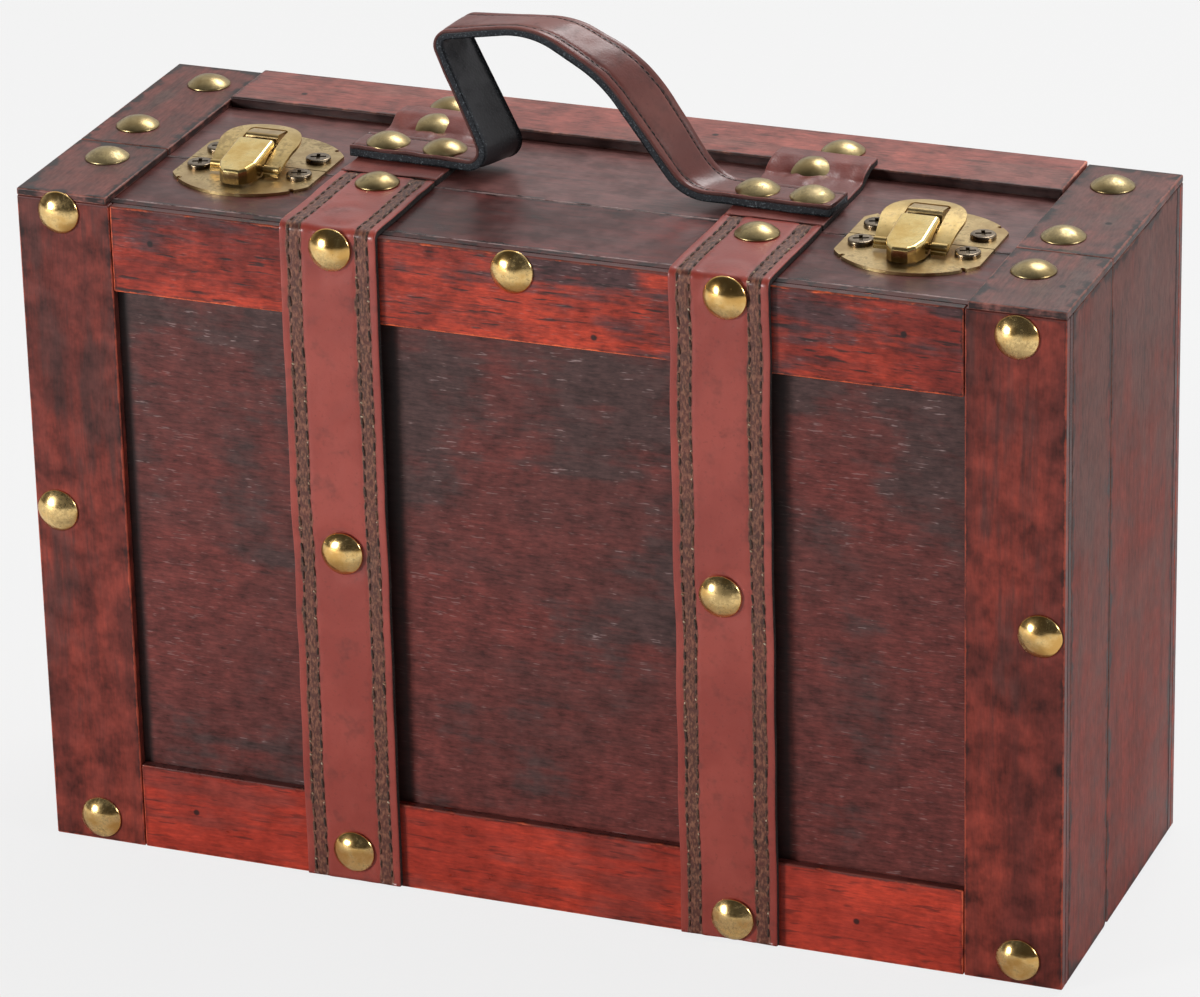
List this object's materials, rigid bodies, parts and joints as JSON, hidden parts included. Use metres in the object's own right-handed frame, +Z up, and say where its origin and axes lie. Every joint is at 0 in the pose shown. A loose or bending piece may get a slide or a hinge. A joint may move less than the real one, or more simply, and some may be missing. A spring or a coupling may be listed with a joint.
{
  "type": "case with hinged lid and latches",
  "caption": "Small wooden suitcase with a hinged front lid, framed panels, leather straps, dome tacks, draw latches and a leather strap handle.",
  "frame": {"origin": "middle of the underside of the closed case, as it stands on the floor", "axes": "+X along the width towards the right-hand latch, +Y to the back, +Z up towards the handle"},
  "size_m": [0.318, 0.1182, 0.2548],
  "materials": {
    "side_wood": "satin",
    "stile_wood": "satin",
    "rail_wood": "satin",
    "panel_wood": "satin",
    "top_wood": "satin",
    "strap_leather": "satin",
    "lining_leather": "matte",
    "tack_brass": "polished",
    "antique_brass": "satin",
    "dark_steel": "satin"
  },
  "bodies": {
    "box": {"back_panel": "panel_wood", "back_rail_bottom": "rail_wood", "back_rail_top": "rail_wood", "back_stile_left": "stile_wood", "back_stile_right": "stile_wood", "box_bottom": "top_wood", "box_side_left": "side_wood", "box_side_right": "side_wood", "box_strip_left": "stile_wood", "box_strip_right": "stile_wood", "box_top": "top_wood", "box_top_tacks": "tack_brass", "catch_plate_left": "antique_brass", "catch_plate_right": "antique_brass", "catch_screws": "dark_steel", "handle_face": "strap_leather", "handle_lining": "lining_leather", "handle_tacks": "tack_brass", "hinge_box_leaf_left": "dark_steel", "hinge_box_leaf_right": "dark_steel", "hinge_pin_left": "dark_steel", "hinge_pin_right": "dark_steel", "hinge_screws_box": "dark_steel", "pad_left": "strap_leather", "pad_right": "strap_leather", "rear_rail": "rail_wood"},
    "lid": {"lid_side_left": "side_wood", "lid_side_right": "side_wood", "lid_top": "top_wood", "lid_bottom": "top_wood", "front_panel": "panel_wood", "front_stile_left": "stile_wood", "front_stile_right": "stile_wood", "front_rail_top": "rail_wood", "front_rail_bottom": "rail_wood", "lid_strip_left": "stile_wood", "lid_strip_right": "stile_wood", "strap_left": "strap_leather", "strap_right": "strap_leather", "front_tacks": "tack_brass", "lid_top_tacks": "tack_brass", "latch_plate_left": "antique_brass", "latch_plate_right": "antique_brass", "latch_screws": "dark_steel", "lever_pin_left": "antique_brass", "lever_pin_right": "antique_brass", "hinge_lid_leaf_left": "dark_steel", "hinge_lid_leaf_right": "dark_steel", "hinge_screws_lid": "dark_steel"},
    "lever_left": {"lever_left": "antique_brass"},
    "lever_right": {"lever_right": "antique_brass"},
    "ring_left": {"ring_left": "antique_brass"},
    "ring_right": {"ring_right": "antique_brass"}
  },
  "joints": [
    {"name": "lid_hinge", "type": "hinge", "parent": "box", "child": "lid", "pos_m": [0, -0.0135, 0.0016], "axis": [1, 0, 0], "range_deg": [0, 100]},
    {"name": "lever_left_pivot", "type": "hinge", "parent": "lid", "child": "lever_left", "pos_m": [-0.1013, -0.017, 0.2122], "axis": [-1, 0, 0], "range_deg": [0, 100]},
    {"name": "ring_left_pivot", "type": "hinge", "parent": "lever_left", "child": "ring_left", "pos_m": [-0.1013, -0.0226, 0.2096], "axis": [-1, 0, 0], "range_deg": [-126, 0]},
    {"name": "lever_right_pivot", "type": "hinge", "parent": "lid", "child": "lever_right", "pos_m": [0.1029, -0.017, 0.2122], "axis": [-1, 0, 0], "range_deg": [0, 100]},
    {"name": "ring_right_pivot", "type": "hinge", "parent": "lever_right", "child": "ring_right", "pos_m": [0.1029, -0.0226, 0.2096], "axis": [-1, 0, 0], "range_deg": [-126, 0]}
  ],
  "couplings": [
    {"joint": "ring_left_pivot", "follows": "lever_left_pivot", "ratio": -1.25},
    {"joint": "ring_right_pivot", "follows": "lever_right_pivot", "ratio": -1.25}
  ]
}
